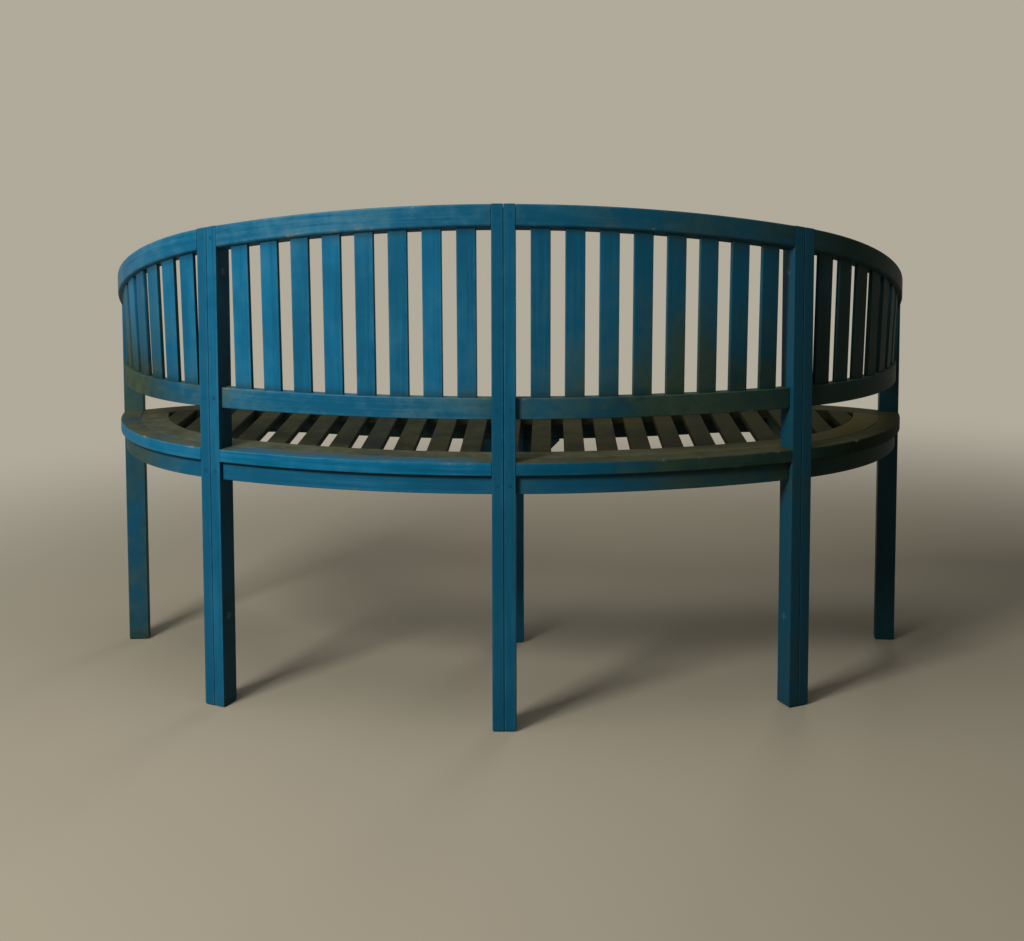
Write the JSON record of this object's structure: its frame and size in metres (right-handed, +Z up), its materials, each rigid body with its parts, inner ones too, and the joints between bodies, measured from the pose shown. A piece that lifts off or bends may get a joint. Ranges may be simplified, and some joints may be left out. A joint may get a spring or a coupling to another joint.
{
  "type": "curved slatted garden bench",
  "caption": "Wide garden bench with a bow-shaped slatted seat and a curved slatted back that wraps round the sitter, in weathered blue painted wood.",
  "frame": {"origin": "on the floor, in the middle of the bench's width and depth", "axes": "+Z up, -Y the way the sitter faces, +X to the sitter's left"},
  "size_m": [1.498, 0.546, 0.876],
  "materials": {
    "frame": "weathered satin blue paint",
    "back_slat": "weathered satin blue paint",
    "seat_board": "grimy worn blue paint",
    "pin": "painted over with the frame",
    "bolt": "dull dark paint"
  },
  "bodies": {
    "root": {"back_slats_left": "back_slat", "back_slats_right": "back_slat", "centre_bearer": "frame", "centre_post_left": "frame", "centre_post_right": "frame", "centre_seat_slat": "seat_board", "corner_bracket_left": "frame", "corner_bracket_right": "frame", "end_back_slats_left": "back_slat", "end_back_slats_right": "back_slat", "end_lower_rail_left": "frame", "end_lower_rail_right": "frame", "end_post_left": "frame", "end_post_right": "frame", "end_rear_apron_left": "frame", "end_rear_apron_right": "frame", "end_seat_border_left": "seat_board", "end_seat_border_right": "seat_board", "end_seat_ring_left": "seat_board", "end_seat_ring_right": "seat_board", "end_top_rail_left": "frame", "end_top_rail_right": "frame", "front_apron_left": "frame", "front_apron_right": "frame", "front_board_left": "seat_board", "front_board_right": "seat_board", "front_leg": "frame", "joint_pins": "pin", "lower_rail_left": "frame", "lower_rail_right": "frame", "post_bolts": "bolt", "rear_apron_left": "frame", "rear_apron_right": "frame", "rear_post_inner_left": "frame", "rear_post_inner_right": "frame", "rear_post_outer_left": "frame", "rear_post_outer_right": "frame", "seat_border_left": "seat_board", "seat_border_right": "seat_board", "seat_ring_left": "seat_board", "seat_ring_right": "seat_board", "seat_slats_left": "seat_board", "seat_slats_right": "seat_board", "side_bearer_left": "frame", "side_bearer_right": "frame", "top_rail_left": "frame", "top_rail_right": "frame"}
  },
  "joints": []
}
